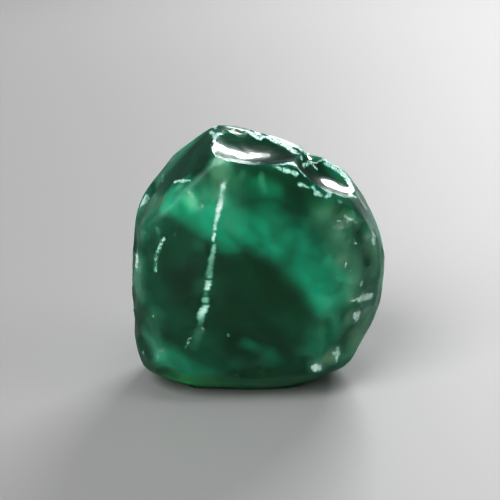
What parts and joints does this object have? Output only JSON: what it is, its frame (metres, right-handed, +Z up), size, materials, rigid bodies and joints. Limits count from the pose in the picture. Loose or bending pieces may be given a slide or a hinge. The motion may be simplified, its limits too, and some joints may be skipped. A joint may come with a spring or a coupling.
{
  "type": "rough aventurine stone",
  "caption": "Rough, glassy green aventurine lump with shell-shaped breaks and chipped edges, standing on a flat break.",
  "frame": {"origin": "middle of the underside of the bounding box, on the flat break that the stone stands on", "axes": "+Z up, the broad front face looks along -Y, and the two shell-shaped scars are at the top right of that face, towards +X"},
  "size_m": [0.036, 0.0254, 0.0359],
  "materials": {
    "aventurine": "glassy conchoidal break, clear at the thin edges and deep green in the middle"
  },
  "bodies": {
    "root": {"stone": "aventurine"}
  },
  "joints": []
}
